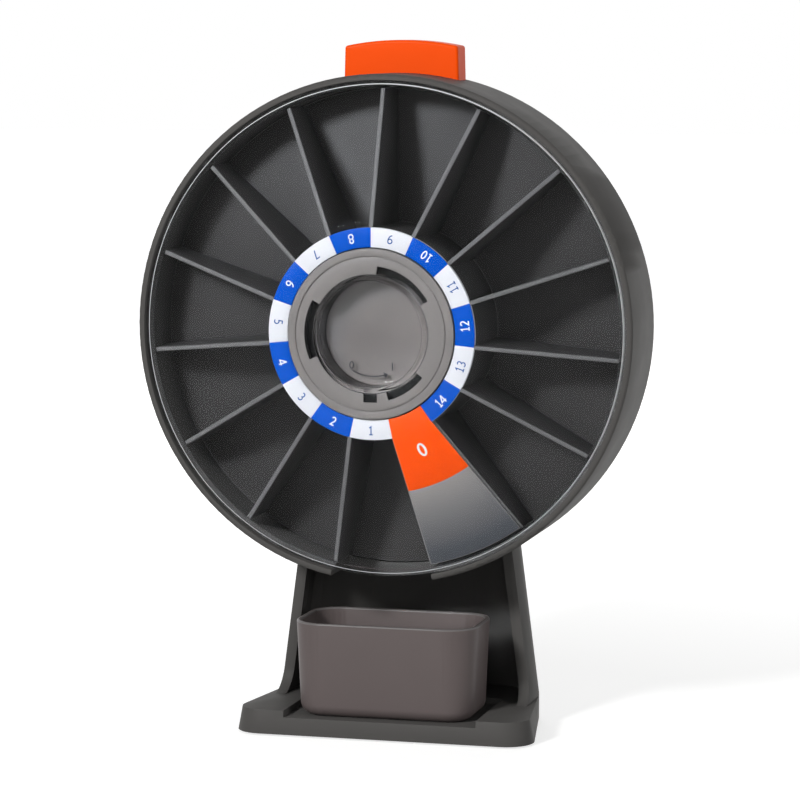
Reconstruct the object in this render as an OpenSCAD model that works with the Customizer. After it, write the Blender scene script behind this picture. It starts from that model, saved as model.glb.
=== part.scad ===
// Pill dispenser with a turning wheel of fourteen compartments in a round housing.
// A button on top works a ratchet that turns the wheel one compartment at a time, and
// what is in the lowest compartment drops through the outlet into a loose tray.
// Millimetres, +Z up. The front faces -Y. The origin is on the table, under the middle
// of the whole depth.

/* [Housing] */
// Outer radius of the round housing
drum_r = 80; // [78:0.5:84]
// Depth of the housing from its front lip to its back face
drum_depth = 37.5; // [37:0.25:41]
// Height of the wheel's axis above the table
axis_h = 130; // [128:0.5:138]
// Width of the front lip between the outside and the cover's seat
lip_w = 1.9; // [1.6:0.1:2.4]
// Wall between the outside and the wheel's chamber
drum_wall = 3.8; // [3.2:0.1:4.2]
// Wall of the housing round the mechanism
rear_wall = 2.4; // [2:0.1:2.8]
// Depth of the cover's seat behind the lip
seat_depth = 4.1; // [3.6:0.1:4.6]
// Depth of the mechanism's space, from the front of its floor to the back face
mechanism_depth = 15.9; // [15.3:0.1:16.6]
// Thickness of the floor behind the wheel
floor_t = 2; // [1.6:0.1:2.4]
// Thickness of the back cover
back_t = 2; // [1.8:0.1:2.6]
// Rounding of the housing's back edge
back_round = 2.4; // [1.8:0.1:2.8]

/* [Wheel] */
// Positions round the wheel, one of them the closed start sector
positions = 15; // [15]
// Gap between the dividers' ends and the chamber's wall
wheel_gap = 0.8; // [0.6:0.1:1.2]
// Thickness of a divider
divider_t = 1.4; // [1.2:0.1:1.8]
// Inner radius of the number ring
ring_in_r = 26.9; // [26.9:0.1:27.6]
// Width of the number ring, out to the face of the hub under it
ring_w = 6.1; // [5.4:0.1:8]
// Height of the number ring's face in front of the lip
ring_front = 11.5; // [10.5:0.25:12]
// Depth behind the lip of the dividers' front edges at the rim
rim_back = 3; // [2.6:0.1:3.4]
// Thickness of the number ring
ring_t = 1.6; // [1.4:0.1:2]
// Thickness of the blue tiles in the number ring
tile_t = 0.6; // [0.4:0.1:0.8]
// Thickness of the wheel's back disc
disc_t = 2; // [1.6:0.1:2.4]
// Gap between the back disc and the floor of the chamber
disc_gap = 0.6; // [0.4:0.1:1]
// Wall of the wheel's hub
hub_wall = 2.2; // [1.8:0.1:2.6]
// Thickness of the plate over the start sector
start_t = 1.4; // [1.2:0.1:1.8]
// Outer radius of the orange flag on the start plate
flag_r = 50.5; // [46:0.5:56]

/* [Hub post and clear cover] */
// Outer radius of the hub post's front ring
hub_ring_r = 26.5; // [25.6:0.1:26.6]
// Height of the hub ring's face in front of the lip
hub_front = 12.3; // [12:0.1:12.6]
// Thickness of the hub ring
hub_ring_t = 2; // [1.8:0.1:2.2]
// Radius of the fixed stem that the wheel turns on
stem_r = 8; // [7:0.25:8.5]
// Radial play of the wheel on the stem
stem_play = 0.06; // [0.03:0.01:0.09]
// Outer radius of the clear cup in the middle of the cover
cup_r = 18.3; // [17.5:0.1:18.6]
// Thickness of the clear cover
cover_t = 1.6; // [1.4:0.1:1.8]
// Depth of the clear cup from the face of the cover
cup_depth = 13; // [11:0.5:13.5]
// How far a bayonet lug stands out of the cup
lug_out = 2.6; // [2.2:0.1:2.8]
// Thickness of a bayonet lug
lug_t = 2; // [1.6:0.1:2.2]
// Turn of the cover from shut to open, in degrees
cover_turn = 40; // [38:1:42]

/* [Button and ratchet] */
// Half width of the button
button_half_w = 19; // [16:0.5:20]
// Height of the button above the housing
button_rise = 10.4; // [10.4:0.2:14]
// Width of the button from front to back
button_depth = 10.7; // [10:0.1:10.7]
// Wall of the hollow button
button_wall = 2; // [1.6:0.1:2.2]
// Travel of the button
button_travel = 9.2; // [8:0.2:9.4]
// Outer radius of the ratchet
ratchet_r = 23; // [21.5:0.25:23.5]
// Depth of the ratchet teeth
tooth_d = 3; // [2.4:0.1:3.2]
// Thickness of the ratchet
ratchet_t = 4; // [3.6:0.1:4.2]
// Thickness of the slide
slide_t = 2.5; // [2.2:0.1:2.8]
// Half width of the slide
slide_half_w = 17; // [15:0.5:17.5]
// Wire diameter of the return springs
wire_d = 0.9; // [0.7:0.05:1]
// Outer diameter of the return springs
spring_d = 6; // [5:0.25:6.25]
// Turns in each return spring
spring_turns = 7; // [5:1:8]

/* [Stand] */
// Half width of the base along its front edge
base_half_w = 48.5; // [46:0.5:54]
// Height of the base
base_h = 8.1; // [7.6:0.1:9]
// How far the base reaches in front of the lip
base_front = 4; // [2:0.5:10]
// Draft of the base's sides over its height
base_draft = 1.5; // [0.5:0.1:2]
// Radius of the base's front corners
base_corner_r = 4.5; // [3.5:0.5:7]
// Half width of the column where it stands on the base
column_half_w = 41.9; // [40:0.5:44]
// Distance from the lip to the walls' front edges
column_front = 30; // [28:0.5:32]
// Distance from the lip to the back of the column
column_back = 60; // [58:0.5:66]
// Wall of the column
column_wall = 3.4; // [2.8:0.1:3.8]
// Radius of the column's back corners
column_corner_r = 20; // [16:1:22]
// Radius of the column's rounded top
column_top_r = 28; // [27:0.5:30]
// How far the column's top stands above the wheel's axis
column_rise = 10; // [6:1:16]
// Depth of the column behind the housing at its top
column_top_depth = 14.5; // [12:0.5:17]
// Radius where the walls' front edges meet the base
wall_fillet_r = 8; // [5:0.5:10]
// Depth of the step that the tray stands in
step_d = 2.1; // [1.4:0.1:2.6]
// Half width of the step that the tray stands in
step_half_w = 31.5; // [31:0.25:33]
// How far the feet stand below the base
foot_out = 0.6; // [0.4:0.1:1]
// Radius of a foot
foot_r = 5; // [4:0.25:5.5]

/* [Tray] */
// Half width of the tray at its rim
tray_half_w = 29.8; // [27:0.2:30.4]
// Depth of the tray at its rim from front to back
tray_depth = 33.5; // [30:0.5:35]
// Height of the tray
tray_h = 30.4; // [24:0.4:33]
// Wall of the tray
tray_wall = 1.6; // [1.4:0.1:2]
// How much narrower the tray is at its bottom, on each side
tray_taper = 1.2; // [0.6:0.1:1.6]
// Radius of the tray's corners
tray_corner_r = 10; // [8:0.5:12]
// Radius of the tray's bottom edges
tray_edge_r = 4; // [3:0.25:5]
// How far the tray's front stands in front of the lip
tray_front = 1.5; // [0:0.25:2]

/* [Hidden] */
$fn = 96;

// Clearances
seat_play = 0.2;
slide_play = 0.3;
face_play = 0.1;
screw_play = 0.05;
blind_play = 0.4;
stand_gap = 0.2;
wheel_front_play = 1;
slide_gap = 0.8;
cover_gap = 0.5;
cup_gap = 0.4;
lug_gap = 0.5;
tip_gap = 0.35;
floor_hole_gap = 2.4;
past = 1;

// Walls and thicknesses of the smaller parts
post_wall = 1.7;
post_floor_t = 2.2;
post_seat_wall = 2;
tube_wall = 3;
washer_t = 1;
screw_pad_t = 1.4;
stand_boss_len = 3.4;
column_plate_t = 2.6;
column_plate_low = 56;
guide_t = 2;
window_rim = 4;
spring_seat_t = 2;
finger_t = 1.7;
foot_wall = 2;
foot_top = 1.8;
foot_inset = 4.6;

// Screws, all of one size but the two small ones in the button
screw_r = 1.2;
screw_head_r = 2.7;
screw_head_t = 1.5;
screw_len = 9;
boss_r = 3.6;
head_sink = 1.6;
button_head_r = 2.4;
button_head_t = 1.2;
button_boss_r = 2.8;
button_screw_hole = 3.4;

// Angles are counted counter-clockwise from the right, seen from the front
pitch = 360 / positions;
outlet_angle = 270;
start_angle = outlet_angle + pitch / 2;
// Each bayonet slot's middle and width, the third narrower so that the cover fits one way
slots = [[57, 54], [177, 52], [304, 36]];
lug_ease = 30;
notch_angle = 270;
notch_half_w = 2.2;
groove_r = 24.2;

// Depths, measured towards the front from the lip
chamber_depth = drum_depth - mechanism_depth;
floor_front = -chamber_depth;
floor_back = floor_front - floor_t;
drum_back = -drum_depth;
cavity_back = drum_back + back_t;
disc_back = floor_front + disc_gap;
disc_front = disc_back + disc_t;
ring_back = ring_front - ring_t;
ratchet_front = floor_back - disc_gap;
ratchet_back = ratchet_front - ratchet_t;
slide_front = ratchet_back - slide_gap;
slide_back = slide_front - slide_t;
button_back = cavity_back + slide_play;
button_front = button_back + button_depth;
post_boss_front = slide_back - 4 * slide_play;
cover_back = hub_front + cover_gap;
cover_front = cover_back + cover_t;
lug_front = hub_front - hub_ring_t - face_play;
lug_back = lug_front - lug_t;
cup_back = cover_front - cup_depth;
post_floor_front = cup_back - cup_gap;
post_floor_back = post_floor_front - post_floor_t;
tube_front = post_floor_back - washer_t - 2 * face_play;
finger_back = ratchet_back + 2 * face_play;
finger_front = ratchet_front - slide_play;

// Radii
chamber_r = drum_r - drum_wall;
wheel_r = chamber_r - wheel_gap;
disc_r = wheel_r + wheel_gap / 4;
ring_out_r = ring_in_r + ring_w;
seat_r = drum_r - lip_w;
rear_r = drum_r - rear_wall;
cover_r = seat_r - seat_play;
lug_r = cup_r + lug_out;
post_in_r = cup_r + slide_play;
undercut_r = lug_r + lug_gap;
slot_r = lug_r + slide_play;
post_out_r = undercut_r + post_wall;
stem_bore_r = stem_r + stem_play;
tube_r = stem_bore_r + tube_wall;
ratchet_bore_r = tube_r + tube_wall;
floor_hole_r = ratchet_r + floor_hole_gap;
button_top_r = drum_r + button_rise;
screw_ring_r = rear_r - boss_r + blind_play;

// The dividers' front edges and the start sector lie on one shallow cone
function cone_z(r) = ring_front - (ring_front + rim_back) * (r - ring_out_r) / (wheel_r - ring_out_r);

// Table and depth of the whole
whole_depth = column_back + cover_front;
lip_y = cover_front - whole_depth / 2;
column_y = lip_y + column_front;
column_back_y = lip_y + column_back;
drum_back_y = lip_y + drum_depth;
column_top_z = axis_h + column_rise - column_top_r;
column_top_back_y = drum_back_y + column_top_depth;
step_len = base_front - tray_front + tray_depth + 1.5;

// Housing screws stand clear of the button, the outlet and the column
screw_angles = [0, 52, 128, 180, 228, 312];
// Screws between the stand and the back cover, from the axis
stand_screw_at = [[19, -25], [17, 24 - drum_r]];
stand_screw_len = column_plate_t + stand_gap + back_t + stand_boss_len - 0.6;

// The slide and the button, from the axis
button_low = drum_r - 10;
button_screw_x = 11;
button_screw_y = button_low + 3;
slide_bottom = -14;
guide_low = 30;
guide_high = button_low - 11;
arm_low = 18;
arm_high = 28;

// The return springs and what holds them; their wire has few sides because it repeats
spring_x = 9;
spring_len = 20;
spring_half_w = 14;
spring_pin_len = 2.4;
spring_z = slide_front - spring_d / 2;
ledge_y = slide_bottom - spring_seat_t - spring_len;
spring_sides = 6;
spring_steps = 14;
spring_r = (spring_d - wire_d) / 2;
spring_rise = spring_len - wire_d - 2 * face_play;

// The pawl and the detent: springy fingers of one outline
finger_out_r = ratchet_r + 3.6;
finger_len = 16;
finger_bend = 9;
finger_tip_w = 0.7;
pawl_angle = 180 - pitch / 2;
pawl_tip = [ratchet_r * cos(pawl_angle), ratchet_r * sin(pawl_angle)];
pawl_root_t = 3.1;
detent_foot = 4;
detent_overlap = 0.5;
detent_x = finger_out_r + 1.6;
detent_screw_y = -finger_len - detent_foot;
detent_hole_d = floor_front - disc_gap - finger_back;
detent_screw_len = detent_hole_d - blind_play;

// Turns what is drawn facing the viewer about the wheel's axis
module on_axis() {
    translate([0, lip_y, axis_h]) rotate([90, 0, 0]) children();
}

// A cylinder from one depth to another, along the wheel's axis
module barrel(r, back, front) {
    translate([0, 0, back]) cylinder(r = r, h = front - back);
}

// A ring from one depth to another
module band(r_in, r_out, back, front) {
    difference() {
        barrel(r_out, back, front);
        barrel(r_in, back - past, front + past);
    }
}

// A ring's arc of a given width about a middle angle
module arc_band(r_in, r_out, back, front, middle, width) {
    rotate([0, 0, middle - width / 2]) rotate_extrude(angle = width)
        translate([r_in, back]) square([r_out - r_in, front - back]);
}

// A block between two depths, from its corners seen from the front
module slab(low, high, back, front) {
    translate([low[0], low[1], back]) cube([high[0] - low[0], high[1] - low[1], front - back]);
}

// A pan head screw whose head lies behind depth 0 and whose shank points to the front
module screw(len) {
    translate([0, 0, -screw_head_t]) cylinder(r = screw_head_r, h = screw_head_t);
    cylinder(r = screw_r, h = len);
}

// The clearance hole of such a screw, with a sunk seat for its head
module screw_hole(seat_len) {
    translate([0, 0, -seat_len]) cylinder(r = screw_head_r + 0.3, h = seat_len);
    cylinder(r = screw_r + 0.3, h = screw_len);
}

// The pilot hole that such a screw cuts its thread in
module pilot_hole(len) {
    translate([0, 0, -past]) cylinder(r = screw_r + screw_play, h = len + past);
}

module at_housing_screws() {
    for (a = screw_angles) rotate([0, 0, a]) translate([screw_ring_r, 0, 0]) children();
}

module at_stand_screws() {
    for (side = [-1, 1], at = stand_screw_at) translate([side * at[0], at[1], 0]) children();
}

// Round housing: lip, cover's seat, wheel's chamber with a floor, and the mechanism's
// wall with its screw bosses
module drum_housing() {
    lip_round = 1;
    color([0.33, 0.32, 0.32]) on_axis() difference() {
        union() {
            rotate_extrude() difference() {
                union() {
                    translate([0, cavity_back]) square([drum_r, -cavity_back - lip_round]);
                    square_top = drum_r - lip_round;
                    translate([0, -lip_round - past]) square([square_top, lip_round + past]);
                    translate([square_top, -lip_round]) circle(r = lip_round);
                }
                translate([-past, -seat_depth]) square([seat_r + past, seat_depth + past]);
                translate([-past, floor_front]) square([chamber_r + past, chamber_depth + past]);
                translate([-past, cavity_back - past])
                    square([rear_r + past, floor_back - cavity_back + past]);
                translate([-past, floor_back - past])
                    square([floor_hole_r + past, floor_t + 2 * past]);
            }
            at_housing_screws()
                barrel(boss_r, cavity_back + screw_pad_t + face_play, floor_back);
            detent_pad(finger_front, floor_back);
        }
        outlet_cut();
        slot_half = button_half_w + slide_play;
        slab([-slot_half, drum_r * 0.8], [slot_half, drum_r + past],
            cavity_back - past, button_front + slide_play);
        at_housing_screws() translate([0, 0, cavity_back + screw_pad_t]) pilot_hole(screw_len);
        translate([detent_x, detent_screw_y, finger_back]) pilot_hole(detent_hole_d);
    }
}

// One pitch of the rim is cut away at the bottom, as deep as the wheel's compartments
module outlet_cut() {
    arc_band(chamber_r - 4 * past, drum_r + past, disc_back + disc_t / 2, past,
        outlet_angle, pitch);
}

// Back cover: a flat cap with a rounded edge, a locating rim, screw pads, the seat of the
// hub post, guides for the slide, and the ledge of the return springs
module back_cover() {
    rim_t = 1.6;
    rim_h = 2.4;
    color([0.31, 0.30, 0.30]) on_axis() difference() {
        union() {
            rotate_extrude() {
                translate([0, drum_back]) square([drum_r - back_round, back_t]);
                intersection() {
                    translate([drum_r - back_round, drum_back + back_round]) circle(r = back_round);
                    translate([0, drum_back]) square([drum_r, back_t]);
                }
            }
            difference() {
                band(rear_r - seat_play - rim_t, rear_r - seat_play, cavity_back, cavity_back + rim_h);
                slot_half = button_half_w + 2 * slide_play;
                slab([-slot_half, 0], [slot_half, drum_r], cavity_back - past, 0);
                at_housing_screws() barrel(boss_r + slide_play, cavity_back - past, 0);
            }
            intersection() {
                at_housing_screws() barrel(boss_r, cavity_back - screw_play, cavity_back + screw_pad_t);
                barrel(rear_r - seat_play, cavity_back - past, 0);
            }
            at_stand_screws() barrel(boss_r, cavity_back, cavity_back + stand_boss_len);
            barrel(stem_r + post_seat_wall, cavity_back, post_boss_front);
            for (side = [-1, 1]) slide_guide(side);
            slab([-spring_half_w, ledge_y - spring_seat_t], [spring_half_w, ledge_y],
                cavity_back, spring_z + spring_d / 2);
            for (side = [-1, 1]) spring_pin(side, ledge_y, 1);
        }
        at_housing_screws() translate([0, 0, drum_back + head_sink]) screw_hole(head_sink + past);
        translate([0, 0, drum_back + head_sink]) screw_hole(head_sink + past);
        at_stand_screws() translate([0, 0, drum_back]) pilot_hole(back_t + stand_boss_len - blind_play);
    }
}

// One guide rib beside the slide
module slide_guide(side) {
    inner = slide_half_w + slide_play;
    low = side > 0 ? inner : -inner - guide_t;
    slab([low, guide_low], [low + guide_t, guide_high], cavity_back, slide_front);
}

// A pin that holds a return spring's end in place
module spring_pin(side, from, way) {
    pin_r = spring_d / 2 - wire_d - slide_play - face_play;
    translate([side * spring_x, from, spring_z]) rotate([-90 * way, 0, 0])
        cylinder(r = pin_r, h = spring_pin_len);
}

module housing_screws() {
    color([0.62, 0.62, 0.64]) on_axis() at_housing_screws()
        translate([0, 0, drum_back + head_sink]) screw(screw_len);
}

module stand_screws() {
    color([0.62, 0.62, 0.64]) on_axis() at_stand_screws()
        translate([0, 0, drum_back - stand_gap - column_plate_t]) screw(stand_screw_len);
}

module hub_screw() {
    color([0.62, 0.62, 0.64]) on_axis() translate([0, 0, drum_back + head_sink]) screw(screw_len);
}

// Fixed post: a front ring with three bayonet slots over an undercut cup, and a stem
// behind it that carries the wheel
module hub_post() {
    groove_w = 0.4;
    color([0.50, 0.48, 0.47]) on_axis() difference() {
        union() {
            barrel(hub_ring_r, hub_front - hub_ring_t, hub_front);
            barrel(post_out_r, post_floor_back, hub_front - hub_ring_t);
            barrel(stem_r, post_boss_front, post_floor_back + post_floor_t / 2);
        }
        barrel(post_in_r, post_floor_front, hub_front + past);
        barrel(undercut_r, lug_back - 2 * face_play, hub_front - hub_ring_t);
        for (s = slots)
            arc_band(cup_r, slot_r, hub_front - hub_ring_t - past, hub_front + past, s[0], s[1]);
        rotate([0, 0, notch_angle]) slab([cup_r, -notch_half_w], [slot_r, notch_half_w],
            hub_front - hub_ring_t / 2, hub_front + past);
        band(groove_r - groove_w, groove_r, hub_front - groove_w, hub_front + past);
        translate([0, 0, post_boss_front]) pilot_hole(screw_len);
    }
}

// Clear cover: a shallow cone with a flat middle, a deep cup for the fingers, and three
// lugs that lock behind the hub ring
module clear_cover() {
    flat_r = ring_out_r + 1;
    edge_in_r = wheel_r + wheel_gap / 2;
    edge_back = -seat_depth + face_play;
    edge_front = -1.2;
    edge_inner = -rim_back + wheel_front_play;
    color([0.80, 0.86, 0.90, 0.35]) on_axis() {
        rotate_extrude() polygon([
            [0, cup_back], [cup_r, cup_back], [cup_r, cover_back], [flat_r, cover_back],
            [edge_in_r, edge_inner], [edge_in_r, edge_back], [cover_r, edge_back],
            [cover_r, edge_front], [edge_in_r + 0.4, edge_front + 0.2],
            [flat_r + cover_t * 0.3, cover_front], [cup_r - cover_t, cover_front],
            [cup_r - cover_t, cup_back + cover_t], [0, cup_back + cover_t]]);
        for (s = slots)
            arc_band(cup_r - cover_t / 2, lug_r, lug_back, lug_front, s[0] - cover_turn, s[1] - lug_ease);
    }
}

// Wheel: a hub with a front flange, a back disc and a bearing tube on the stem
module wheel_hub() {
    color([0.30, 0.29, 0.29]) on_axis() rotate_extrude() polygon([
        [stem_bore_r, ratchet_back], [ratchet_bore_r - screw_play, ratchet_back],
        [ratchet_bore_r - screw_play, disc_back], [disc_r, disc_back],
        [disc_r, disc_front], [ring_out_r, disc_front], [ring_out_r, ring_back],
        [ring_in_r, ring_back], [ring_in_r, ring_back - hub_wall],
        [ring_out_r - hub_wall, ring_back - hub_wall], [ring_out_r - hub_wall, disc_front],
        [tube_r, disc_front], [tube_r, tube_front], [stem_bore_r, tube_front]]);
}

// Fifteen dividers between the hub and the rim; the two beside the start sector are lower,
// because the start plate lies on them
module wheel_dividers() {
    color([0.33, 0.32, 0.32]) on_axis() for (i = [0 : positions - 1]) {
        drop = i < 2 ? start_t + screw_play : 0;
        rotate([0, 0, start_angle + i * pitch]) rotate([90, 0, 0])
            translate([0, 0, -divider_t / 2]) linear_extrude(divider_t) polygon([
                [ring_out_r, disc_front], [wheel_r, disc_front],
                [wheel_r, cone_z(wheel_r) - drop], [ring_out_r, ring_front - drop]]);
    }
}

// Sector of one pitch between two radii, whose front follows the cone
module start_sector(profile) {
    rotate([0, 0, start_angle]) rotate_extrude(angle = pitch) polygon(profile);
}

// Plate that closes the start sector, with a shallow pocket for the flag
module start_plate() {
    out_r = wheel_r - wheel_gap / 4;
    color([0.42, 0.45, 0.48]) on_axis() start_sector([
        [ring_out_r, cone_z(ring_out_r) - start_t], [out_r, cone_z(out_r) - start_t],
        [out_r, cone_z(out_r)], [flag_r, cone_z(flag_r)],
        [flag_r, cone_z(flag_r) - tile_t], [ring_out_r, cone_z(ring_out_r) - tile_t]]);
}

// Orange flag: it fills the ring's gap and lies in the start plate's pocket
module start_flag() {
    color([1.0, 0.33, 0.08]) on_axis() start_sector([
        [ring_in_r, ring_back], [ring_out_r, ring_back],
        [ring_out_r, ring_front - tile_t], [flag_r, cone_z(flag_r) - tile_t],
        [flag_r, cone_z(flag_r)], [ring_out_r, ring_front], [ring_in_r, ring_front]]);
}

// White ring under the numbers, with a pocket for each blue tile
module number_ring() {
    color([0.93, 0.93, 0.95]) on_axis() difference() {
        rotate([0, 0, start_angle + pitch]) rotate_extrude(angle = 360 - pitch)
            translate([ring_in_r, ring_back]) square([ring_out_r - ring_in_r, ring_t]);
        at_blue_tiles() arc_band(ring_in_r - past, ring_out_r + past,
            ring_front - tile_t, ring_front + past, 0, pitch);
    }
}

// The even numbers go clockwise from the one beside number 1
module at_blue_tiles() {
    for (i = [2 : 2 : positions - 1]) rotate([0, 0, outlet_angle - (i - 1) * pitch]) children();
}

module blue_tiles() {
    color([0.0, 0.36, 0.86]) on_axis() at_blue_tiles()
        arc_band(ring_in_r, ring_out_r, ring_front - tile_t, ring_front, 0, pitch);
}

// Saw-toothed ring on the back of the wheel: one tooth for each position, with its
// driving faces where the pawl and the detent reach them at rest
module ratchet_ring() {
    teeth = [for (i = [0 : positions - 1]) each [
        [(ratchet_r - tooth_d) * cos(i * pitch), (ratchet_r - tooth_d) * sin(i * pitch)],
        [ratchet_r * cos(i * pitch), ratchet_r * sin(i * pitch)]]];
    color([0.88, 0.88, 0.86]) on_axis() difference() {
        translate([0, 0, ratchet_back]) linear_extrude(ratchet_t) polygon(teeth);
        barrel(ratchet_bore_r, ratchet_back - past, ratchet_front + past);
    }
}

module thrust_washer() {
    color([0.75, 0.74, 0.70]) on_axis()
        band(stem_r + screw_play, tube_r, tube_front + face_play, post_floor_back - face_play);
}

// Outline of a springy finger whose tip lies just short of a tooth's driving face, for a
// face that lies level with the axis on the right
function finger_outline() = [
    [ratchet_r - tooth_d * 0.6, -tip_gap], [ratchet_r + finger_tip_w, -tip_gap],
    [finger_out_r, -finger_bend], [finger_out_r, -finger_len],
    [finger_out_r - finger_t, -finger_len], [finger_out_r - finger_t, -finger_bend - finger_t / 4],
    [ratchet_r - finger_tip_w / 2, -finger_bend * 0.36]];

// Drive pawl: it stands under the slide's arm on the left and pushes a tooth down
module drive_pawl() {
    root_x = -finger_out_r;
    color([0.85, 0.85, 0.82]) on_axis() {
        translate([0, pawl_tip[1] + slide_play - screw_play, finger_back]) linear_extrude(finger_front - finger_back)
            polygon([for (p = finger_outline()) [-p[0], -p[1]]]);
        slab([root_x, arm_low], [root_x + pawl_root_t, arm_high], slide_front, finger_front);
    }
}

// Detent: the same finger, fixed to the housing on the right, which stops the wheel from
// turning back
module detent_spring() {
    color([0.85, 0.85, 0.82]) on_axis() difference() {
        union() {
            translate([0, 0, finger_back]) linear_extrude(finger_front - finger_back)
                polygon(finger_outline());
            detent_pad(finger_back, finger_front);
        }
        translate([detent_x, detent_screw_y, finger_back - past])
            cylinder(r = screw_r + screw_play, h = ratchet_t + 2 * past);
    }
}

// Foot of the detent, and the pad on the chamber's floor that it is screwed to
module detent_pad(back, front) {
    slab([finger_out_r - finger_t, detent_screw_y - detent_foot],
        [detent_x + boss_r, detent_overlap - finger_len], back, front);
}

module detent_screw() {
    color([0.62, 0.62, 0.64]) on_axis() translate([detent_x, detent_screw_y, finger_back]) {
        translate([0, 0, -screw_head_t]) cylinder(r = screw_head_r, h = screw_head_t);
        cylinder(r = screw_r, h = detent_screw_len);
    }
}

// Button: a hollow cap whose top follows the housing, open behind where it is screwed to
// the slide
module press_button() {
    top_round = 1;
    in_front = button_front - button_wall;
    in_back = button_back + button_wall;
    in_half = button_half_w - button_wall;
    color([1.0, 0.33, 0.08]) on_axis() difference() {
        union() {
            difference() {
                intersection() {
                    slab([-button_half_w, button_low], [button_half_w, button_top_r + past],
                        button_back, button_front);
                    union() {
                        barrel(button_top_r - top_round, button_back, button_front);
                        barrel(button_top_r, button_back + top_round, button_front - top_round);
                        for (z = [button_back + top_round, button_front - top_round])
                            translate([0, 0, z]) rotate_extrude()
                                translate([button_top_r - top_round, 0]) circle(r = top_round);
                    }
                }
                intersection() {
                    slab([-in_half, button_low - past], [in_half, button_top_r], in_back, in_front);
                    barrel(button_top_r - button_wall, in_back - past, in_front + past);
                }
                slab([-in_half, button_low - past], [in_half, drum_r - rear_wall],
                    button_back - past, in_front);
            }
            at_button_screws() barrel(button_boss_r, slide_front, in_front);
        }
        at_button_screws() translate([0, 0, slide_front]) pilot_hole(button_screw_hole);
    }
}

module at_button_screws() {
    for (side = [-1, 1]) translate([side * button_screw_x, button_screw_y, 0]) children();
}

// Slide: a plate that hangs from the button, with a slot round the stem, an arm for the
// pawl, and a foot on the return springs
module button_slide() {
    slot_half = stem_r + stem_play;
    color([0.80, 0.80, 0.78]) on_axis() difference() {
        union() {
            slab([-slide_half_w, slide_bottom], [slide_half_w, guide_high + guide_t], slide_back, slide_front);
            slab([-button_half_w + button_wall + slide_play, guide_high], [button_half_w - button_wall
                - slide_play, drum_r], slide_back, slide_front);
            slab([-finger_out_r, arm_low], [0, arm_high], slide_back, slide_front);
            slab([-spring_half_w, slide_bottom - spring_seat_t], [spring_half_w, slide_bottom],
                spring_z - spring_d / 2, slide_front);
            for (side = [-1, 1]) spring_pin(side, slide_bottom - spring_seat_t, -1);
        }
        barrel(slot_half, slide_back - past, slide_front + past);
        translate([0, button_travel, 0]) barrel(slot_half, slide_back - past, slide_front + past);
        slab([-slot_half, 0], [slot_half, button_travel], slide_back - past, slide_front + past);
        slab([-slide_half_w / 2, arm_high + window_rim], [slide_half_w / 2, guide_high - window_rim],
            slide_back - past, slide_front + past);
        at_button_screws() barrel(screw_r + screw_play, slide_back - past, slide_front + past);
    }
}

module button_screws() {
    shank = slide_t + button_screw_hole - blind_play;
    color([0.62, 0.62, 0.64]) on_axis() at_button_screws() translate([0, 0, slide_back]) {
        translate([0, 0, -button_head_t]) cylinder(r = button_head_r, h = button_head_t);
        cylinder(r = screw_r, h = shank);
    }
}

// Return springs: two coils between the ledge and the slide's foot
function coil_point(t) = [spring_r * cos(360 * spring_turns * t), spring_r * sin(360 * spring_turns * t),
    wire_d / 2 + face_play + spring_rise * t];

module coil() {
    rings = spring_turns * spring_steps;
    points = [for (i = [0 : rings], s = [0 : spring_sides - 1])
        let (t = i / rings, turn = 360 * spring_turns * t, a = 360 * s / spring_sides,
            out = wire_d / 2 * cos(a), up = wire_d / 2 * sin(a), c = coil_point(t))
        [c[0] + out * cos(turn), c[1] + out * sin(turn), c[2] + up]];
    last = rings * spring_sides;
    faces = [
        [for (s = [0 : spring_sides - 1]) s],
        for (i = [0 : rings - 1], s = [0 : spring_sides - 1])
            let (a = i * spring_sides + s, b = i * spring_sides + (s + 1) % spring_sides)
            each [[a, a + spring_sides, b], [b, a + spring_sides, b + spring_sides]],
        [for (s = [spring_sides - 1 : -1 : 0]) last + s]];
    polyhedron(points, faces);
}

module return_springs() {
    color([0.72, 0.72, 0.74]) on_axis() for (side = [-1, 1])
        translate([side * spring_x, ledge_y, spring_z]) rotate([-90, 0, 0]) coil();
}

// Outline of the base at one height: round front corners and wide round back ones
module base_block(inset, low, high) {
    lean = base_draft * (high - low) / base_h;
    r = base_corner_r - inset;
    front_y = lip_y - base_front + base_corner_r;
    hull() {
        for (side = [-1, 1]) {
            translate([side * (base_half_w - base_corner_r), front_y, low])
                cylinder(r1 = r, r2 = r - lean, h = high - low, $fn = 32);
            translate([side * (column_half_w - column_corner_r), column_back_y - column_corner_r, low])
                cylinder(r = column_corner_r - inset, h = high - low, $fn = 64);
        }
    }
}

// The column's outside, or its inside when inset: wide at the base, round at the top
module column_block(inset) {
    edge = 8;
    wide = column_half_w - inset;
    r = column_corner_r - inset;
    reach = wall_fillet_r + past;
    hull() {
        for (side = [-1, 1]) {
            translate([side * (wide - r), column_back_y - column_corner_r, base_h])
                cylinder(r = r, h = 0.5, $fn = 48);
            translate([side > 0 ? wide - 1 : -wide, column_y - reach, base_h]) cube([1, reach, 0.5]);
        }
        translate([0, column_y - reach, column_top_z]) rotate([-90, 0, 0])
            cylinder(r = column_top_r - inset, h = column_top_back_y - edge - column_y + reach, $fn = 64);
        translate([0, column_top_back_y - edge, column_top_z]) rotate([-90, 0, 0])
            cylinder(r1 = column_top_r - inset, r2 = column_top_r - inset - edge * 0.6,
                h = edge - inset, $fn = 64);
    }
}

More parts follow.
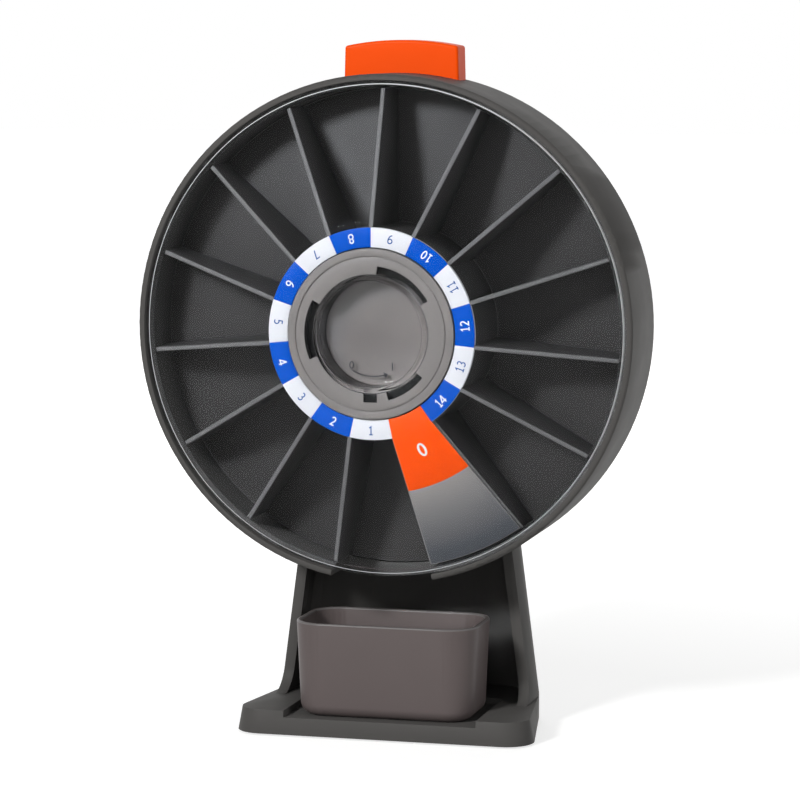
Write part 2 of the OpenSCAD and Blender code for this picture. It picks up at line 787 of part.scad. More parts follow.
// Stand: a low base with the tray's step, and a hollow column that carries the housing
module stand() {
    base_wall = 2.6;
    color([0.30, 0.29, 0.29]) difference() {
        union() {
            base_block(0, foot_out, base_h);
            difference() {
                column_block(0);
                difference() {
                    column_block(column_wall);
                    column_plate();
                }
            }
            intersection() {
                column_block(column_wall / 2);
                stand_towers(boss_r + 1);
            }
        }
        column_front_cut();
        drum_seat_cut();
        translate([-step_half_w, lip_y - base_front - past, base_h - step_d])
            cube([2 * step_half_w, step_len + past, step_d + past]);
        difference() {
            base_block(base_wall, -past, base_h - step_d - base_wall);
            for (at = foot_places()) translate([at[0], at[1], -past])
                cylinder(r = foot_r + foot_wall, h = base_h);
            base_ribs();
        }
        for (at = foot_places()) translate([at[0], at[1], -past])
            cylinder(r = foot_r + screw_play, h = foot_top + past);
        on_axis() at_stand_screws() translate([0, 0, drum_back - stand_gap - column_plate_t])
            screw_hole(column_top_depth * 3);
    }
}

// Plate across the column where it meets the housing
module column_plate() {
    translate([-column_half_w, drum_back_y + stand_gap, column_plate_low])
        cube([2 * column_half_w, column_plate_t, axis_h]);
}

// Tubes that lead the stand's screws through the column to its plate
module stand_towers(r) {
    on_axis() at_stand_screws()
        barrel(r, -column_back, drum_back - stand_gap - column_plate_t / 2);
}

// Everything in front of the walls' front edges, down to the fillets at the base
module column_front_cut() {
    r = wall_fillet_r;
    wide = 2 * (base_half_w + past);
    deep = base_front + column_front + r;
    translate([-wide / 2, column_y - deep, base_h + r]) cube([wide, deep, axis_h]);
    translate([-wide / 2, column_y - deep, base_h]) cube([wide, deep - r, r + past]);
    translate([-wide / 2, column_y - r, base_h + r]) rotate([0, 90, 0]) cylinder(r = r, h = wide);
}

// The housing's place in the column, with a little room round it
module drum_seat_cut() {
    on_axis() barrel(drum_r + stand_gap, drum_back - stand_gap, past);
}

// Crossed ribs under the base
module base_ribs() {
    rib_t = 1.6;
    for (x = [-step_half_w, 0, step_half_w])
        translate([x - rib_t / 2, lip_y - base_front, 0]) cube([rib_t, column_back + base_front, base_h]);
    for (y = [lip_y + base_front * 4, column_back_y - column_corner_r])
        translate([-base_half_w, y - rib_t / 2, 0]) cube([2 * base_half_w, rib_t, base_h]);
}

// Middle of each foot, under the base's corners
function foot_places() = [for (side = [-1, 1]) each [
    [side * (base_half_w - foot_r - foot_inset), lip_y - base_front + foot_r + foot_inset],
    [side * (column_half_w - column_corner_r * 0.55), column_back_y - column_corner_r * 0.55]]];

module rubber_feet() {
    color([0.12, 0.12, 0.12]) for (at = foot_places())
        translate([at[0], at[1], 0]) cylinder(r = foot_r, h = foot_top);
}

// Profile of the tray's wall outwards from the middle of a corner: tapered, with a round
// bottom edge
module tray_profile(r, low, high, edge) {
    foot = r - tray_taper;
    polygon([[0, low + edge], [foot, low + edge], [r, high], [0, high]]);
    intersection() {
        translate([0, low]) square([r, edge]);
        union() {
            translate([0, low]) square([foot - edge, edge]);
            translate([foot - edge, low + edge]) circle(r = edge);
        }
    }
}

// The tray's outside, or its inside when inset: four turned corners, the straight sides
// between them, and the middle
module tray_block(inset, low, high) {
    r = tray_corner_r;
    half_w = tray_half_w - r;
    half_d = tray_depth / 2 - r;
    edge = tray_edge_r - inset / 2;
    translate([0, lip_y - tray_front + tray_depth / 2, 0]) {
        for (turn = [0, 180]) rotate([0, 0, turn]) {
            translate([half_w, half_d, 0]) rotate_extrude(angle = 90)
                tray_profile(r - inset, low, high, edge);
            translate([-half_w, half_d, 0]) rotate([0, 0, 90]) rotate_extrude(angle = 90)
                tray_profile(r - inset, low, high, edge);
            translate([half_w, half_d, 0]) rotate([90, 0, 0]) linear_extrude(2 * half_d)
                tray_profile(r - inset, low, high, edge);
            translate([-half_w, half_d, 0]) rotate([90, 0, 90]) linear_extrude(2 * half_w)
                tray_profile(r - inset, low, high, edge);
        }
        translate([-half_w, -half_d, low]) cube([2 * half_w, 2 * half_d, high - low]);
    }
}

// Loose tray: thin walls, round corners, open at the top
module pill_tray() {
    low = base_h - step_d + screw_play;
    color([0.36, 0.34, 0.34]) difference() {
        tray_block(0, low, low + tray_h);
        tray_block(tray_wall, low + tray_wall, low + tray_h + past);
    }
}

stand();
rubber_feet();
drum_housing();
back_cover();
housing_screws();
stand_screws();
hub_post();
hub_screw();
detent_spring();
detent_screw();
return_springs();
clear_cover();
wheel_hub();
wheel_dividers();
start_plate();
start_flag();
number_ring();
blue_tiles();
ratchet_ring();
thrust_washer();
press_button();
button_slide();
drive_pawl();
button_screws();
pill_tray();
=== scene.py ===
import math

import bmesh
import bpy
from mathutils import Matrix, Vector


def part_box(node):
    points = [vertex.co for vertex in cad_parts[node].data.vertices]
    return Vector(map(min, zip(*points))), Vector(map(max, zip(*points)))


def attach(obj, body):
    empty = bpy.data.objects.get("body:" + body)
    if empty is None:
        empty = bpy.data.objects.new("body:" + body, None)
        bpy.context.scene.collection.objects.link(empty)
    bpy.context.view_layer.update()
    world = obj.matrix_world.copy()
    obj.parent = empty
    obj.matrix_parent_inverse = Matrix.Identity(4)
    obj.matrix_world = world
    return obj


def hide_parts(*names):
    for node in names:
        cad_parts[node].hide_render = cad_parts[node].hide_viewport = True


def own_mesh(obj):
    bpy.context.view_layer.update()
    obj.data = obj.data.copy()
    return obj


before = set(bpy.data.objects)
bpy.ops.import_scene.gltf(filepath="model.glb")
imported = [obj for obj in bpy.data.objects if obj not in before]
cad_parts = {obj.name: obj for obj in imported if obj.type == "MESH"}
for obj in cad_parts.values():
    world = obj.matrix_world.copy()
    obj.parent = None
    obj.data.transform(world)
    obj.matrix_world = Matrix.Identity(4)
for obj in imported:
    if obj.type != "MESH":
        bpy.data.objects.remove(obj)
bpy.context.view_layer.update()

MM = 0.001

# Camera, at the photograph's viewing angle: a long lens a metre away, a little to the
# right of the dispenser and a little above its axis
camera_place = (0.2716, -1.0187, 0.2235)
camera_turn = (math.radians(83.63), 0.0, math.radians(14.92))
camera_data = bpy.data.cameras.new("photo_camera")
camera_data.lens = 149.2
camera_data.sensor_width = 36.0
camera = bpy.data.objects.new("photo_camera", camera_data)
camera.location = camera_place
camera.rotation_euler = camera_turn
bpy.context.scene.collection.objects.link(camera)
bpy.context.scene.camera = camera
bpy.context.scene.view_settings.view_transform = "Standard"


# Studio: a strong soft box at the upper left, weak ones in front, at the right and behind,
# all aimed at the wheel, and a dim even room that shows white behind the dispenser. Only the
# strong one is mirrored, and none shows through the clear cover.
def soft_box(name, place, size, power, mirrored=True):
    lamp = bpy.data.lights.new(name, "AREA")
    lamp.shape = "DISK"
    lamp.size = size
    lamp.energy = power
    holder = bpy.data.objects.new(name, lamp)
    holder.location = place
    aim = Vector((0, 0, 0.12)) - Vector(place)
    holder.rotation_euler = aim.to_track_quat("-Z", "Y").to_euler()
    holder.visible_glossy = mirrored
    holder.visible_transmission = False
    bpy.context.scene.collection.objects.link(holder)


soft_box("key_box", (-0.44, -1.12, 0.66), 0.22, 13.5)
soft_box("front_box", (0.10, -1.35, 0.30), 0.70, 1.8, mirrored=False)
soft_box("side_box", (1.10, -0.45, 0.45), 0.60, 3.8, mirrored=False)
soft_box("back_box", (-0.30, 1.00, 0.90), 0.80, 5.0, mirrored=False)


def seen_straight(nodes, links):
    """A socket that is 1 as the camera sees it, straight, mirrored or through the clear cover,
    and 0 to the light that falls on the dispenser."""
    ray = nodes.new("ShaderNodeLightPath")
    kinds = nodes.new("ShaderNodeMath")
    kinds.operation = "MAXIMUM"
    all_kinds = nodes.new("ShaderNodeMath")
    all_kinds.operation = "MAXIMUM"
    not_soft = nodes.new("ShaderNodeMath")
    not_soft.operation = "LESS_THAN"
    not_soft.inputs[1].default_value = 0.5
    seen = nodes.new("ShaderNodeMath")
    seen.operation = "MULTIPLY"
    links.new(ray.outputs["Is Camera Ray"], kinds.inputs[0])
    links.new(ray.outputs["Is Glossy Ray"], kinds.inputs[1])
    links.new(kinds.outputs[0], all_kinds.inputs[0])
    links.new(ray.outputs["Is Transmission Ray"], all_kinds.inputs[1])
    links.new(ray.outputs["Diffuse Depth"], not_soft.inputs[0])
    links.new(all_kinds.outputs[0], seen.inputs[0])
    links.new(not_soft.outputs[0], seen.inputs[1])
    return seen.outputs[0]


room = bpy.data.worlds.new("room")
bpy.context.scene.world = room
room.use_nodes = True
nodes, links = room.node_tree.nodes, room.node_tree.links
nodes.clear()
room_light = nodes.new("ShaderNodeBackground")
room_light.inputs["Color"].default_value = (0.93, 0.96, 1.0, 1.0)
room_light.inputs["Strength"].default_value = 0.10
white_view = nodes.new("ShaderNodeBackground")
white_view.inputs["Color"].default_value = (1.0, 1.0, 1.0, 1.0)
white_view.inputs["Strength"].default_value = 1.0
which = nodes.new("ShaderNodeMixShader")
links.new(seen_straight(nodes, links), which.inputs[0])
links.new(room_light.outputs[0], which.inputs[1])
links.new(white_view.outputs[0], which.inputs[2])
world_out = nodes.new("ShaderNodeOutputWorld")
links.new(which.outputs[0], world_out.inputs["Surface"])

# Floor: a wide pale sheet under the feet. It keeps the dispenser's soft shadow, and turns
# to the white of the background away from it.
floor_half = 6.0
floor_mesh = bpy.data.meshes.new("floor")
floor_mesh.from_pydata(
    [(-floor_half, -floor_half, 0), (floor_half, -floor_half, 0),
     (floor_half, floor_half, 0), (-floor_half, floor_half, 0)], [], [(0, 1, 2, 3)])
floor = bpy.data.objects.new("floor", floor_mesh)
bpy.context.scene.collection.objects.link(floor)
paper = bpy.data.materials.new("floor_paper")
paper.use_nodes = True
nodes, links = paper.node_tree.nodes, paper.node_tree.links
paper_shader = nodes["Principled BSDF"]
paper_shader.inputs["Base Color"].default_value = (0.52, 0.52, 0.51, 1.0)
paper_shader.inputs["Roughness"].default_value = 0.9
paper_shader.inputs["Specular IOR Level"].default_value = 0.1
place = nodes.new("ShaderNodeTexCoord")
reach = nodes.new("ShaderNodeVectorMath")
reach.operation = "LENGTH"
links.new(place.outputs["Object"], reach.inputs[0])
whiten = nodes.new("ShaderNodeMapRange")
whiten.inputs["From Min"].default_value = 0.12
whiten.inputs["From Max"].default_value = 0.60
whiten.inputs["To Min"].default_value = 0.70
whiten.inputs["To Max"].default_value = 1.0
links.new(reach.outputs["Value"], whiten.inputs["Value"])
glow = nodes.new("ShaderNodeMath")
glow.operation = "MULTIPLY"
links.new(seen_straight(nodes, links), glow.inputs[0])
links.new(whiten.outputs["Result"], glow.inputs[1])
paper_shader.inputs["Emission Color"].default_value = (1.0, 1.0, 1.0, 1.0)
links.new(glow.outputs[0], paper_shader.inputs["Emission Strength"])
floor_mesh.materials.append(paper)


# Stand: one moulding of charcoal plastic, a low base with a shallow step for the tray and
# a hollow column that carries the round housing. It is a copy of its solid whose edges are
# broken and rubbed paler, and whose two front corners are rounder.
def moulded_plastic(name, colour, rough, mottle=0.10, grain=0.003, grain_scale=1500.0,
                    shine=0.15):
    """Moulded plastic: a mottled colour, an uneven polish and a fine grain from the mould."""
    finish = bpy.data.materials.new(name)
    finish.use_nodes = True
    nodes, links = finish.node_tree.nodes, finish.node_tree.links
    shader = nodes["Principled BSDF"]
    shader.inputs["Specular IOR Level"].default_value = shine
    place = nodes.new("ShaderNodeTexCoord")
    clouds = nodes.new("ShaderNodeTexNoise")
    clouds.inputs["Scale"].default_value = 38.0
    clouds.inputs["Detail"].default_value = 4.0
    links.new(place.outputs["Object"], clouds.inputs["Vector"])
    tint = nodes.new("ShaderNodeMix")
    tint.data_type = "RGBA"
    tint.inputs["A"].default_value = [c * (1 - mottle) for c in colour] + [1.0]
    tint.inputs["B"].default_value = [min(c * (1 + mottle), 1.0) for c in colour] + [1.0]
    links.new(clouds.outputs["Fac"], tint.inputs["Factor"])
    links.new(tint.outputs["Result"], shader.inputs["Base Color"])
    smears = nodes.new("ShaderNodeTexNoise")
    smears.inputs["Scale"].default_value = 110.0
    smears.inputs["Detail"].default_value = 3.0
    links.new(place.outputs["Object"], smears.inputs["Vector"])
    polish = nodes.new("ShaderNodeMapRange")
    polish.inputs["To Min"].default_value = rough - 0.05
    polish.inputs["To Max"].default_value = rough + 0.07
    links.new(smears.outputs["Fac"], polish.inputs["Value"])
    links.new(polish.outputs["Result"], shader.inputs["Roughness"])
    mould = nodes.new("ShaderNodeTexNoise")
    mould.inputs["Scale"].default_value = grain_scale
    mould.inputs["Detail"].default_value = 2.0
    links.new(place.outputs["Object"], mould.inputs["Vector"])
    relief = nodes.new("ShaderNodeBump")
    relief.inputs["Strength"].default_value = 1.0
    relief.inputs["Distance"].default_value = grain * MM
    links.new(mould.outputs["Fac"], relief.inputs["Height"])
    links.new(relief.outputs["Normal"], shader.inputs["Normal"])
    return finish


sharp_from = 32.0


def carry_over(node, edge, finishes, body, steps=2, join_flats=True, reshape=None):
    """A copy of a node's solid with its flats joined, its points moved by reshape, its corners
    broken by edge, and the broken corners in the last finish. Flats are joined only when
    join_flats is set, and it is left off for a solid whose flats have holes."""
    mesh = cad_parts[node].data.copy()
    mesh.name = node + "_dressed"
    work = bmesh.new()
    work.from_mesh(mesh)
    bmesh.ops.remove_doubles(work, verts=work.verts, dist=0.002 * MM)
    if join_flats:
        bmesh.ops.dissolve_limit(work, angle_limit=math.radians(0.4), verts=work.verts,
                                 edges=work.edges, use_dissolve_boundaries=False,
                                 delimit={"NORMAL"})
    if reshape:
        for vertex in work.verts:
            vertex.co = reshape(vertex.co)
    work.to_mesh(mesh)
    work.free()
    mesh.materials.clear()
    for finish in finishes:
        mesh.materials.append(finish)
    mesh.polygons.foreach_set("material_index", [0] * len(mesh.polygons))
    piece = bpy.data.objects.new(node + "_dressed", mesh)
    bpy.context.scene.collection.objects.link(piece)
    if edge:
        broken = piece.modifiers.new("broken_edges", "BEVEL")
        broken.width = edge
        broken.segments = steps
        broken.limit_method = "ANGLE"
        broken.angle_limit = math.radians(sharp_from)
        broken.use_clamp_overlap = True
        broken.material = len(finishes) - 1
        broken.harden_normals = False
    shaded_by_angle(piece, sharp_from)
    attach(piece, body)
    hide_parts(node)
    return piece


def shaded_by_angle(piece, angle):
    """Applies what modifiers the piece has, then shades it smooth up to that angle."""
    bpy.context.view_layer.update()
    seen_now = piece.evaluated_get(bpy.context.evaluated_depsgraph_get())
    whole = bpy.data.meshes.new_from_object(seen_now)
    piece.modifiers.clear()
    piece.data = whole
    whole.shade_smooth()
    whole.set_sharp_from_angle(angle=math.radians(angle))


charcoal = moulded_plastic("charcoal_plastic", (0.076, 0.073, 0.070), 0.52, mottle=0.05, shine=0.08)
charcoal_edge = moulded_plastic("charcoal_rubbed_edge", (0.105, 0.101, 0.098), 0.40)
stand_low, stand_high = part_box("stand")
base_top = 8.3 * MM
corner_r = 4.5 * MM
rounder_by = 4.5 * MM
corner_middle = Vector((stand_high.x - corner_r, stand_low.y + corner_r))
skin_r = 2.5 * MM
past_arc = 1.0 * MM


def rounder_base(at):
    """Moves the outer skin of the base's two front corners out to a larger radius."""
    out = Vector((abs(at.x), at.y)) - corner_middle
    if at.z > base_top or out.x < -0.02 * MM or out.y > past_arc or out.length < skin_r:
        return at
    reach = out.length + rounder_by
    moved = corner_middle + Vector((-rounder_by, rounder_by)) + out.normalized() * reach
    return Vector((math.copysign(moved.x, at.x), moved.y, at.z))


carry_over("stand", 0.35 * MM, [charcoal, charcoal_edge], "frame",
           reshape=rounder_base)

# Rubber feet: four black discs under the base's corners, of soft rubber, pressed into their
# pockets and standing a little proud of them
rubber = moulded_plastic("foot_rubber", (0.018, 0.018, 0.018), 0.80, grain=0.012, grain_scale=1400.0)
carry_over("rubber_feet", 0.3 * MM, [rubber], "frame")

# Housing: the round drum moulded in the same charcoal plastic as the stand, open in front,
# with a polished lip round the cover and a gap at the bottom that lets a dose fall out
lip_edge = moulded_plastic("charcoal_lip_edge", (0.125, 0.121, 0.117), 0.32, grain=0.003)
carry_over("drum_housing", 0.22 * MM, [charcoal, lip_edge], "frame")

# Back cover: a dished cap of the same plastic that shuts the mechanism in behind the wheel,
# held to the housing by six screws
carry_over("back_cover", 0.25 * MM, [charcoal, charcoal_edge], "frame")

# Tray: a loose thin-walled box in a slightly redder charcoal, its rim rolled and its
# corners polished by handling
tray_plastic = moulded_plastic("tray_plastic", (0.112, 0.092, 0.090), 0.40, mottle=0.05)
tray_rim = moulded_plastic("tray_rolled_rim", (0.150, 0.140, 0.138), 0.30, grain=0.003)
carry_over("pill_tray", 0.55 * MM, [tray_plastic, tray_rim], "tray", steps=3)

# Hub post: the fixed gray ring in the middle, moulded a shade lighter than the housing, with
# three bayonet slots for the cover's lugs and a deep well for the fingers. The well's wall
# and the slots are painted near black, and its floor darker than the ring, as painted shade.
hub_gray = moulded_plastic("hub_gray_plastic", (0.200, 0.182, 0.171), 0.38, mottle=0.04, grain=0.0)
hub_edge = moulded_plastic("hub_gray_edge", (0.30, 0.28, 0.265), 0.30, mottle=0.05, grain=0.003)
hub_post = carry_over("hub_post", 0.18 * MM, [hub_gray, hub_edge], "frame",
                      join_flats=False)
# Painted shade: a near-black finish for the well's wall and the slots, and a darker gray for the well's
# floor
well_painted_shade = moulded_plastic("hub_well_painted_shade", (0.010, 0.010, 0.010), 0.40, grain=0.0, shine=0.04)
well_floor_painted_shade = moulded_plastic("hub_well_floor_painted_shade", (0.120, 0.106, 0.099), 0.36, mottle=0.04, grain=0.0)
hub_post.data.materials.append(well_painted_shade)
hub_post.data.materials.append(well_floor_painted_shade)
post_low, post_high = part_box("hub_post")
hub_middle = (post_low.z + post_high.z) / 2
well_r = 18.4 * MM
slot_end_r = 21.7 * MM
slot_front = post_low.y + 0.2 * MM
slot_back = post_low.y + 11.4 * MM
floor_front = post_low.y + 8 * MM
# Painted shade: the well's wall and the slots take the near-black finish, and its floor takes the
# darker gray
for face in hub_post.data.polygons:
    out = math.hypot(face.center.x, face.center.z - hub_middle)
    if well_r < out < slot_end_r and slot_front < face.center.y < slot_back:
        face.material_index = 2
    elif out < well_r and face.center.y > floor_front:
        face.material_index = 3


# Wheel hub: the core and back disc of the wheel, in a charcoal painted darker than the housing's,
# a painted shade for the deep compartments. The dividers, the printed figures and the cover are
# drawn about their own middle, and then turned to the axis that the wheel's solids have.
wheel_low, wheel_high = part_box("wheel_hub")
ring_low, ring_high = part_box("number_ring")
lip_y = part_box("drum_housing")[0].y
axis_z = (wheel_low.z + wheel_high.z) / 2
on_axis = Matrix.Translation((0, lip_y, axis_z)) @ Matrix.Rotation(math.pi / 2, 4, "X")
# Painted shade: this charcoal is darker than the housing's so that the compartments look shaded
wheel_painted_shade_plastic = moulded_plastic("wheel_painted_shade_plastic", (0.042, 0.040, 0.039), 0.42)
carry_over("wheel_hub", 0.2 * MM, [wheel_painted_shade_plastic, charcoal_edge], "wheel")

# Dividers: fifteen thin blades between the hub and the rim. Each is one blade with
# rounded front edges, set round the axis; the two beside the start sector are cut lower
# for its plate.
positions = 15
pitch = 360.0 / positions
first_divider = 270.0 + pitch / 2
ring_out_r = ring_high.x
wheel_r = 75.4 * MM
divider_t = 1.4 * MM
divider_round = 0.3 * MM
start_drop = 1.45 * MM
ring_front = lip_y - ring_low.y
disc_front = -19.0 * MM
rim_back = 3.0 * MM


def cone_front(r):
    """How far the dividers' front edges stand before the lip at one radius."""
    return ring_front - (ring_front + rim_back) * (r - ring_out_r) / (wheel_r - ring_out_r)


def prism(work, near, far):
    """Adds a closed block between two matching outlines."""
    faces = [work.faces.new(near), work.faces.new(list(reversed(far)))]
    for i in range(len(near)):
        j = (i + 1) % len(near)
        faces.append(work.faces.new([near[i], far[i], far[j], near[j]]))
    bmesh.ops.recalc_face_normals(work, faces=faces)


def divider_mesh(name, drop, finishes):
    """One blade, drawn towards the right of the axis, with its front edges rounded."""
    outline = [(ring_out_r, disc_front), (wheel_r, disc_front),
               (wheel_r, cone_front(wheel_r) - drop), (ring_out_r, ring_front - drop)]
    work = bmesh.new()
    near, far = [[work.verts.new((x, y, z)) for x, z in outline]
                 for y in (divider_t / 2, -divider_t / 2)]
    prism(work, near, far)
    front = [e for e in work.edges
             if all(v.co.z > disc_front + 1 * MM for v in e.verts)
             and abs(e.verts[0].co.y - e.verts[1].co.y) < 1e-7]
    bmesh.ops.bevel(work, geom=front, offset=divider_round, segments=3, profile=0.5,
                    affect="EDGES")
    # Painted highlight: faces that look to the front, the blade's front face and rounded edges, take
    # the lighter finish
    for face in work.faces:
        face.material_index = 1 if face.normal.z > 0.35 else 0
    mesh = bpy.data.meshes.new(name)
    work.to_mesh(mesh)
    work.free()
    for finish in finishes:
        mesh.materials.append(finish)
    return mesh


def set_round_axis(name):
    """Geometry Nodes that set a piece round the axis a number of times."""
    tree = bpy.data.node_groups.new(name, "GeometryNodeTree")
    tree.interface.new_socket("Piece", in_out="INPUT", socket_type="NodeSocketGeometry")
    tree.interface.new_socket("Count", in_out="INPUT", socket_type="NodeSocketInt")
    tree.interface.new_socket("First angle", in_out="INPUT", socket_type="NodeSocketFloat")
    tree.interface.new_socket("Pitch", in_out="INPUT", socket_type="NodeSocketFloat")
    tree.interface.new_socket("Finish", in_out="INPUT", socket_type="NodeSocketMaterial")
    tree.interface.new_socket("Edge finish", in_out="INPUT", socket_type="NodeSocketMaterial")
    tree.interface.new_socket("Pieces", in_out="OUTPUT", socket_type="NodeSocketGeometry")
    add, link = tree.nodes.new, tree.links.new
    start = add("NodeGroupInput")
    spots = add("GeometryNodePoints")
    link(start.outputs["Count"], spots.inputs["Count"])
    number = add("GeometryNodeInputIndex")
    steps = add("ShaderNodeMath")
    steps.operation = "MULTIPLY_ADD"
    link(number.outputs[0], steps.inputs[0])
    link(start.outputs["Pitch"], steps.inputs[1])
    link(start.outputs["First angle"], steps.inputs[2])
    turn = add("ShaderNodeCombineXYZ")
    link(steps.outputs[0], turn.inputs["Z"])
    turned = add("FunctionNodeEulerToRotation")
    link(turn.outputs[0], turned.inputs[0])
    placed = add("GeometryNodeInstanceOnPoints")
    link(spots.outputs[0], placed.inputs["Points"])
    link(start.outputs["Piece"], placed.inputs["Instance"])
    link(turned.outputs[0], placed.inputs["Rotation"])
    real = add("GeometryNodeRealizeInstances")
    link(placed.outputs[0], real.inputs[0])
    body_finish = add("GeometryNodeSetMaterial")
    link(start.outputs["Finish"], body_finish.inputs["Material"])
    edge_finish = add("GeometryNodeSetMaterial")
    link(start.outputs["Edge finish"], edge_finish.inputs["Material"])
    slot_number = add("GeometryNodeInputMaterialIndex")
    is_edge = add("FunctionNodeCompare")
    is_edge.data_type = "INT"
    is_edge.operation = "EQUAL"
    link(slot_number.outputs[0], is_edge.inputs["A"])
    next(s for s in is_edge.inputs if s.name == "B" and s.type == "INT").default_value = 1
    link(real.outputs[0], edge_finish.inputs["Geometry"])
    link(is_edge.outputs[0], edge_finish.inputs["Selection"])
    is_body = add("FunctionNodeBooleanMath")
    is_body.operation = "NOT"
    link(is_edge.outputs[0], is_body.inputs[0])
    link(edge_finish.outputs[0], body_finish.inputs["Geometry"])
    link(is_body.outputs[0], body_finish.inputs["Selection"])
    end = add("NodeGroupOutput")
    link(body_finish.outputs[0], end.inputs[0])
    return tree


def run_tree(piece, tree, values):
    """Gives a piece the tree's result as its own mesh, and takes the tree off it."""
    modifier = piece.modifiers.new(tree.name, "NODES")
    modifier.node_group = tree
    for socket in tree.interface.items_tree:
        if socket.in_out == "INPUT" and socket.name in values:
            modifier[socket.identifier] = values[socket.name]
    bpy.context.view_layer.update()
    seen_now = piece.evaluated_get(bpy.context.evaluated_depsgraph_get())
    made = bpy.data.meshes.new_from_object(seen_now)
    piece.modifiers.clear()
    piece.data = made
    return made


round_axis = set_round_axis("set_round_axis")
# Painted highlight: the dividers' front faces and rounded front edges are a lighter charcoal than the
# blades
divider_painted_highlight = moulded_plastic("divider_front_painted_highlight", (0.140, 0.136, 0.134), 0.36, grain=0.001)
for name, count, first, drop in [("dividers_low", 2, first_divider, start_drop),
                                 ("dividers_tall", positions - 2, first_divider + 2 * pitch, 0.0)]:
    blade = divider_mesh(name, drop, [wheel_painted_shade_plastic, divider_painted_highlight])
    blades = bpy.data.objects.new(name, blade)
    bpy.context.scene.collection.objects.link(blades)
    made = run_tree(blades, round_axis, {
        "Count": count, "First angle": math.radians(first), "Pitch": math.radians(pitch),
        "Finish": wheel_painted_shade_plastic, "Edge finish": divider_painted_highlight})
    made.transform(on_axis)
    made.shade_smooth()
    made.set_sharp_from_angle(angle=math.radians(sharp_from))
    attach(blades, "wheel")
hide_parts("wheel_dividers")
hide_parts("wheel_dividers")

# Start plate: the gray plate that shuts the start sector. Its colour is painted darker and
# bluer from the flag towards the rim, a painted shade and painted reflection.
painted_shade_from_r = 46 * MM
painted_shade_to_r = 72 * MM
start_gray = moulded_plastic("start_plate_gray", (0.285, 0.262, 0.245), 0.30, mottle=0.05, grain=0.002)
nodes, links = start_gray.node_tree.nodes, start_gray.node_tree.links
place = nodes.new("ShaderNodeTexCoord")
from_axis = nodes.new("ShaderNodeVectorMath")
from_axis.operation = "MULTIPLY_ADD"
from_axis.inputs[1].default_value = (1.0, 0.0, 1.0)
from_axis.inputs[2].default_value = (0.0, 0.0, -axis_z)
radius = nodes.new("ShaderNodeVectorMath")
radius.operation = "LENGTH"
# Painted shade and painted reflection: the base colour is mixed towards a dark bluish gray as the
# radius grows towards the rim
painted_shade_ramp = nodes.new("ShaderNodeMapRange")
painted_shade_ramp.inputs["From Min"].default_value = painted_shade_from_r
painted_shade_ramp.inputs["From Max"].default_value = painted_shade_to_r
painted_shade_mix = nodes.new("ShaderNodeMix")
painted_shade_mix.data_type = "RGBA"
painted_shade_mix.inputs["B"].default_value = (0.070, 0.074, 0.082, 1.0)
links.new(place.outputs["Object"], from_axis.inputs[0])
links.new(from_axis.outputs["Vector"], radius.inputs[0])
links.new(radius.outputs["Value"], painted_shade_ramp.inputs["Value"])
links.new(painted_shade_ramp.outputs["Result"], painted_shade_mix.inputs["Factor"])
shader = nodes["Principled BSDF"]
links.new(shader.inputs["Base Color"].links[0].from_socket, painted_shade_mix.inputs["A"])
links.new(painted_shade_mix.outputs["Result"], shader.inputs["Base Color"])
carry_over("start_plate", 0.12 * MM, [start_gray, hub_edge], "wheel")

# Start flag: the orange sector from the number ring to the middle of the plate, a thin
# moulding let into the plate's face
orange = moulded_plastic("orange_plastic", (0.92, 0.080, 0.002), 0.36, mottle=0.03, grain=0.0,
                         shine=0.06)
orange_edge = moulded_plastic("orange_edge", (0.95, 0.13, 0.02), 0.30, mottle=0.03, grain=0.0)
carry_over("start_flag", 0.10 * MM, [orange, orange_edge], "wheel")

# Number ring: a white plastic ring on the wheel's face, with a blue tile let in under every
# even number
ring_white = moulded_plastic("ring_white", (0.74, 0.73, 0.75), 0.40, mottle=0.02, grain=0.002)
tile_blue = moulded_plastic("tile_blue", (0.0, 0.074, 0.46), 0.36, mottle=0.03, grain=0.0,
                            shine=0.04)
carry_over("number_ring", 0.06 * MM, [ring_white], "wheel")
carry_over("blue_tiles", 0.05 * MM, [tile_blue], "wheel")


# Numbers: printed on the ring, thin and blue on white, bold and white on blue, each drawn
# with strokes of one width. Their tops point to the hub. The start sector is marked with a
# plain zero.
def oval(x, y, across, up, first, last):
    """Points of an ellipse's arc between two angles in degrees."""
    bends = max(6, int(abs(last - first) / 15))
    angles = [math.radians(first + (last - first) * k / bends) for k in range(bends + 1)]
    return [(x + across * math.cos(a), y + up * math.sin(a)) for a in angles]


figure_step = 0.64
print_t = 0.1 * MM
sharpest_mitre = 0.48
six = [oval(0.28, 0.30, 0.23, 0.24, 180, 540), oval(0.45, 0.34, 0.40, 0.60, 180, 95)]
strokes = {
    "0": [oval(0.28, 0.50, 0.205, 0.43, 90, 450)],
    "1": [[(0.12, 0.76), (0.31, 0.93), (0.31, 0.06)], [(0.12, 0.06), (0.50, 0.06)]],
    "2": [oval(0.27, 0.69, 0.20, 0.24, 160, -35) + [(0.09, 0.06), (0.50, 0.06)]],
    "3": [oval(0.25, 0.71, 0.19, 0.22, 140, -90), oval(0.25, 0.28, 0.23, 0.22, 90, -140)],
    "4": [[(0.40, 0.03), (0.40, 0.96)], [(0.38, 0.93), (0.00, 0.27), (0.58, 0.27)]],
    "5": [[(0.46, 0.93), (0.14, 0.93), (0.12, 0.53)] + oval(0.24, 0.31, 0.23, 0.25, 120, -135)],
    "6": six,
    "7": [[(0.06, 0.93), (0.50, 0.93), (0.20, 0.03)]],
    "8": [oval(0.28, 0.735, 0.20, 0.215, -90, 270), oval(0.28, 0.27, 0.24, 0.25, 90, 450)],
    "9": [[(0.56 - x, 1 - y) for x, y in stroke] for stroke in six],
    "|": [[(0.0, 0.0), (0.0, 1.0)]]}


